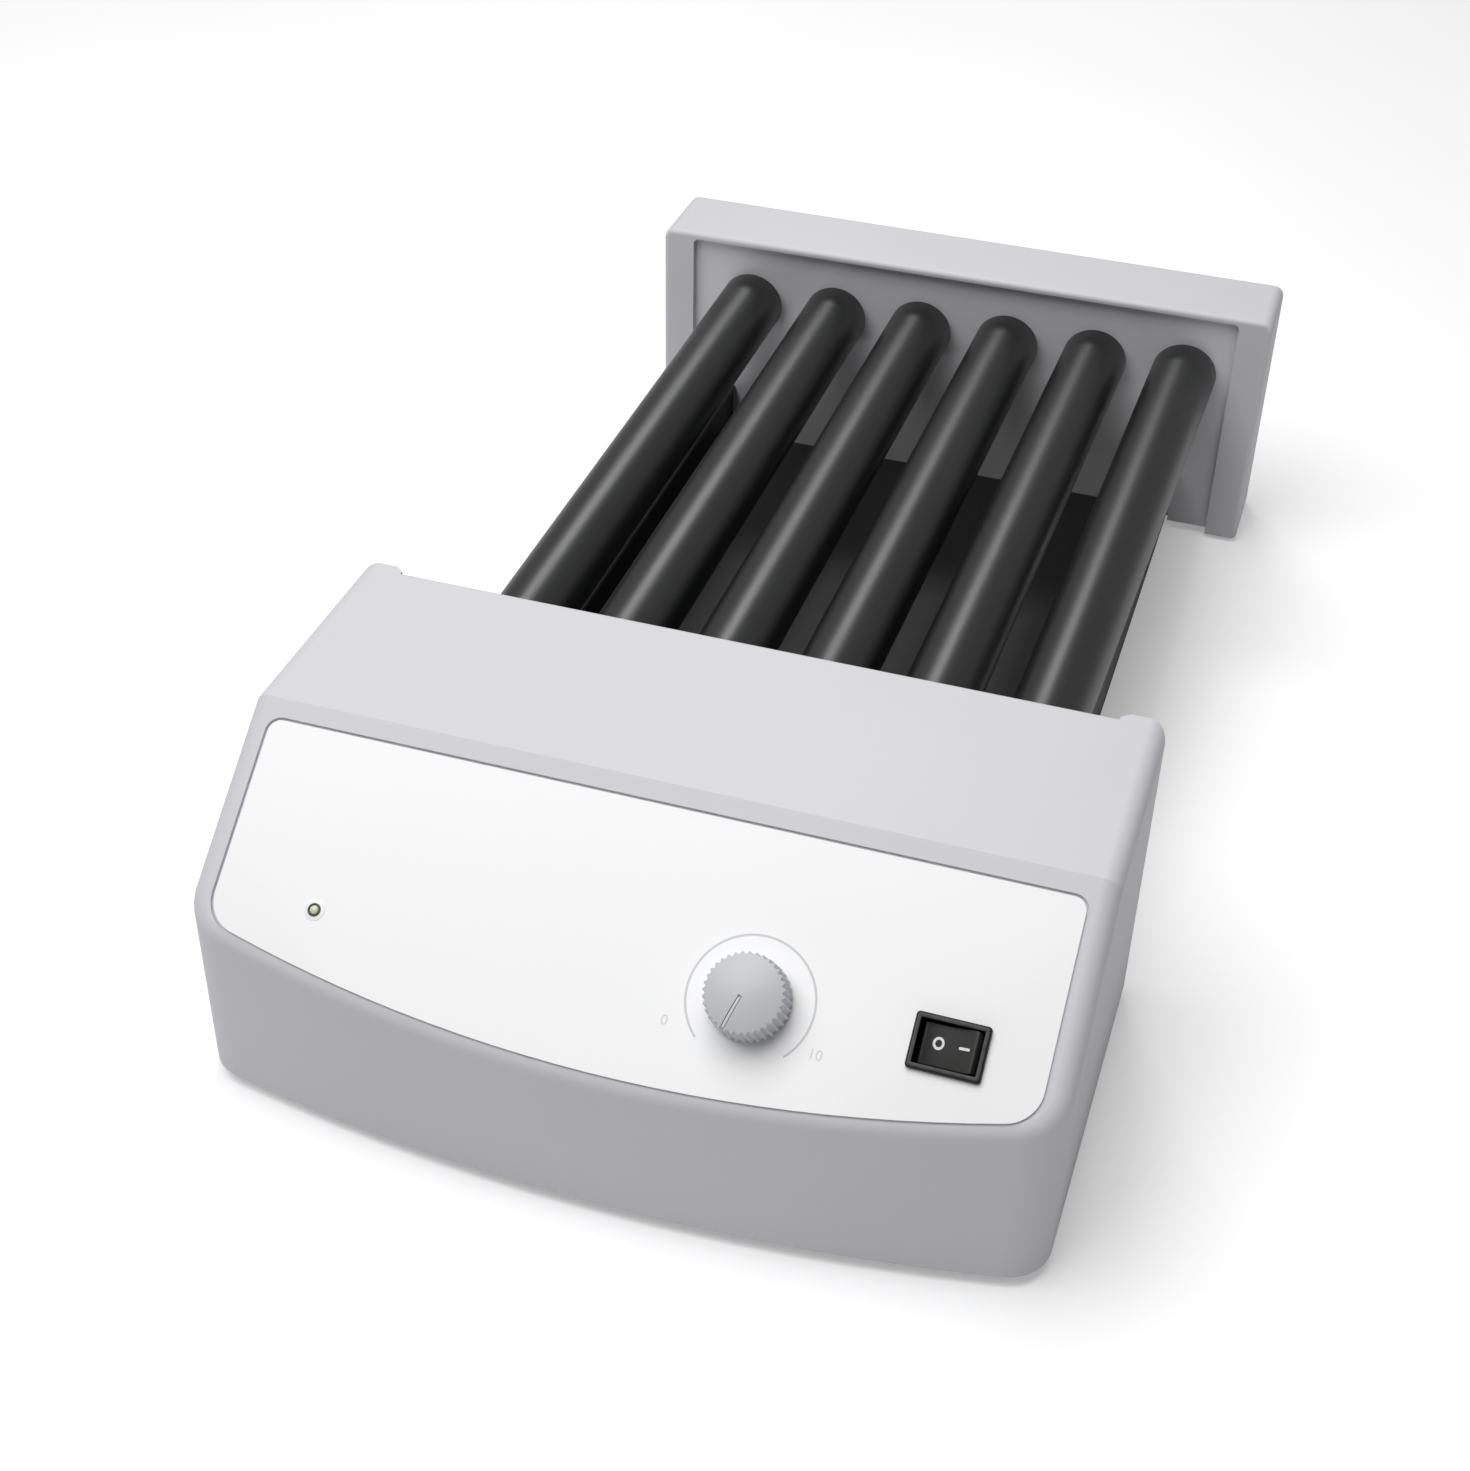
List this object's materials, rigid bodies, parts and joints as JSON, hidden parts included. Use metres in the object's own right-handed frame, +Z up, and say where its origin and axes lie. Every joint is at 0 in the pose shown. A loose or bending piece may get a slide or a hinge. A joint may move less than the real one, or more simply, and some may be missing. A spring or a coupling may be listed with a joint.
{
  "type": "roller mixer",
  "caption": "Bench roller mixer: level-bearing rollers on offset end shafts rock and turn together between a sloping control housing and a narrow end housing.",
  "frame": {"origin": "on the bench under the middle of the part, at the height the rubber feet stand on", "axes": "+X to the right seen from the control panel, +Y from the control housing to the end housing, +Z up"},
  "size_m": [0.262, 0.464, 0.107],
  "materials": {
    "housing": "light grey moulded ABS, fine satin grain",
    "plate": "mid grey satin paint on folded sheet",
    "tray": "black satin paint on folded sheet",
    "overlay": "white polycarbonate face sheet",
    "sleeve": "black satin rubber sleeve",
    "tube": "drawn tube",
    "roller_end": "black acetal end plug",
    "gear": "natural acetal",
    "steel": "zinc plated steel",
    "motor": "plated steel can",
    "bush": "natural nylon",
    "knob": "grey moulded plastic",
    "switch": "black moulded nylon",
    "lamp": "pale green diffused lens",
    "lamp_holder": "black plastic ring",
    "board": "green solder resist",
    "foot": "black rubber"
  },
  "bodies": {
    "root": {"front_cover": "housing", "rear_cover": "housing", "front_base": "housing", "rear_base": "housing", "front_bearing_plate": "plate", "rear_bearing_plate": "plate", "link_tray": "tray", "control_overlay": "overlay", "idler_pins": "steel", "motor_bracket": "steel", "cover_screws": "steel", "plate_screws": "steel", "bracket_screws": "steel", "potentiometer_nut": "steel", "gear_motor": "motor", "power_supply": "motor", "front_bearings": "bush", "rear_bearings": "bush", "board_standoffs": "bush", "switch_housing": "switch", "power_inlet": "switch", "potentiometer": "switch", "power_lamp": "lamp", "lamp_holder": "lamp_holder", "control_board": "board", "rubber_feet": "foot"},
    "roller_1": {"roller_tube_1": "tube", "roller_sleeve_1": "sleeve", "roller_ends_1": "roller_end", "roller_gear_1": "gear"},
    "roller_2": {"roller_tube_2": "tube", "roller_sleeve_2": "sleeve", "roller_ends_2": "roller_end", "roller_gear_2": "gear"},
    "roller_3": {"roller_tube_3": "tube", "roller_sleeve_3": "sleeve", "roller_ends_3": "roller_end", "roller_gear_3": "gear"},
    "roller_4": {"roller_tube_4": "tube", "roller_sleeve_4": "sleeve", "roller_ends_4": "roller_end", "roller_gear_4": "gear"},
    "roller_5": {"roller_tube_5": "tube", "roller_sleeve_5": "sleeve", "roller_ends_5": "roller_end", "roller_gear_5": "gear"},
    "roller_6": {"roller_tube_6": "tube", "roller_sleeve_6": "sleeve", "roller_ends_6": "roller_end", "roller_gear_6": "gear"},
    "idler_1": {"idler_gear_1": "gear"},
    "idler_2": {"idler_gear_2": "gear"},
    "idler_3": {"idler_gear_3": "gear"},
    "idler_4": {"idler_gear_4": "gear"},
    "idler_5": {"idler_gear_5": "gear"},
    "motor_output": {"motor_shaft": "steel", "drive_pinion": "gear"},
    "knob": {"speed_knob": "knob", "potentiometer_shaft": "steel"},
    "rocker": {"switch_rocker": "switch"}
  },
  "joints": [
    {"name": "roller_1_turn", "type": "hinge", "parent": "root", "child": "roller_1", "pos_m": [-0.09125, 0.0543, 0.0676], "axis": [0, 1, 0], "continuous": true},
    {"name": "roller_2_turn", "type": "hinge", "parent": "root", "child": "roller_2", "pos_m": [-0.05475, 0.0543, 0.0676], "axis": [0, 1, 0], "continuous": true},
    {"name": "roller_3_turn", "type": "hinge", "parent": "root", "child": "roller_3", "pos_m": [-0.01825, 0.0543, 0.0676], "axis": [0, 1, 0], "continuous": true},
    {"name": "roller_4_turn", "type": "hinge", "parent": "root", "child": "roller_4", "pos_m": [0.01825, 0.0543, 0.0676], "axis": [0, 1, 0], "continuous": true},
    {"name": "roller_5_turn", "type": "hinge", "parent": "root", "child": "roller_5", "pos_m": [0.05475, 0.0543, 0.0676], "axis": [0, 1, 0], "continuous": true},
    {"name": "roller_6_turn", "type": "hinge", "parent": "root", "child": "roller_6", "pos_m": [0.09125, 0.0543, 0.0676], "axis": [0, 1, 0], "continuous": true},
    {"name": "idler_1_turn", "type": "hinge", "parent": "root", "child": "idler_1", "pos_m": [-0.073, -0.0983, 0.05201], "axis": [0, 1, 0], "continuous": true},
    {"name": "idler_2_turn", "type": "hinge", "parent": "root", "child": "idler_2", "pos_m": [-0.0365, -0.0983, 0.05201], "axis": [0, 1, 0], "continuous": true},
    {"name": "idler_3_turn", "type": "hinge", "parent": "root", "child": "idler_3", "pos_m": [0, -0.0983, 0.05201], "axis": [0, 1, 0], "continuous": true},
    {"name": "idler_4_turn", "type": "hinge", "parent": "root", "child": "idler_4", "pos_m": [0.0365, -0.0983, 0.05201], "axis": [0, 1, 0], "continuous": true},
    {"name": "idler_5_turn", "type": "hinge", "parent": "root", "child": "idler_5", "pos_m": [0.073, -0.0983, 0.05201], "axis": [0, 1, 0], "continuous": true},
    {"name": "motor_turn", "type": "hinge", "parent": "root", "child": "motor_output", "pos_m": [0, -0.0983, 0.03251], "axis": [0, 1, 0], "continuous": true},
    {"name": "knob_turn", "type": "hinge", "parent": "root", "child": "knob", "pos_m": [0.0393, -0.20963, 0.07856], "axis": [0, 0.606, -0.7955], "range_deg": [0, 300]},
    {"name": "rocker_tip", "type": "hinge", "parent": "root", "child": "rocker", "pos_m": [0.0954, -0.20543, 0.07322], "axis": [0, 0.7955, 0.606], "range_deg": [0, 20]}
  ],
  "couplings": [
    {"joint": "roller_2_turn", "follows": "roller_1_turn", "ratio": 1},
    {"joint": "roller_3_turn", "follows": "roller_1_turn", "ratio": 1},
    {"joint": "roller_4_turn", "follows": "roller_1_turn", "ratio": 1},
    {"joint": "roller_5_turn", "follows": "roller_1_turn", "ratio": 1},
    {"joint": "roller_6_turn", "follows": "roller_1_turn", "ratio": 1},
    {"joint": "idler_1_turn", "follows": "roller_1_turn", "ratio": -1.2857},
    {"joint": "idler_2_turn", "follows": "roller_1_turn", "ratio": -1.2857},
    {"joint": "idler_3_turn", "follows": "roller_1_turn", "ratio": -1.2857},
    {"joint": "idler_4_turn", "follows": "roller_1_turn", "ratio": -1.2857},
    {"joint": "idler_5_turn", "follows": "roller_1_turn", "ratio": -1.2857},
    {"joint": "motor_turn", "follows": "roller_1_turn", "ratio": 1.5}
  ]
}
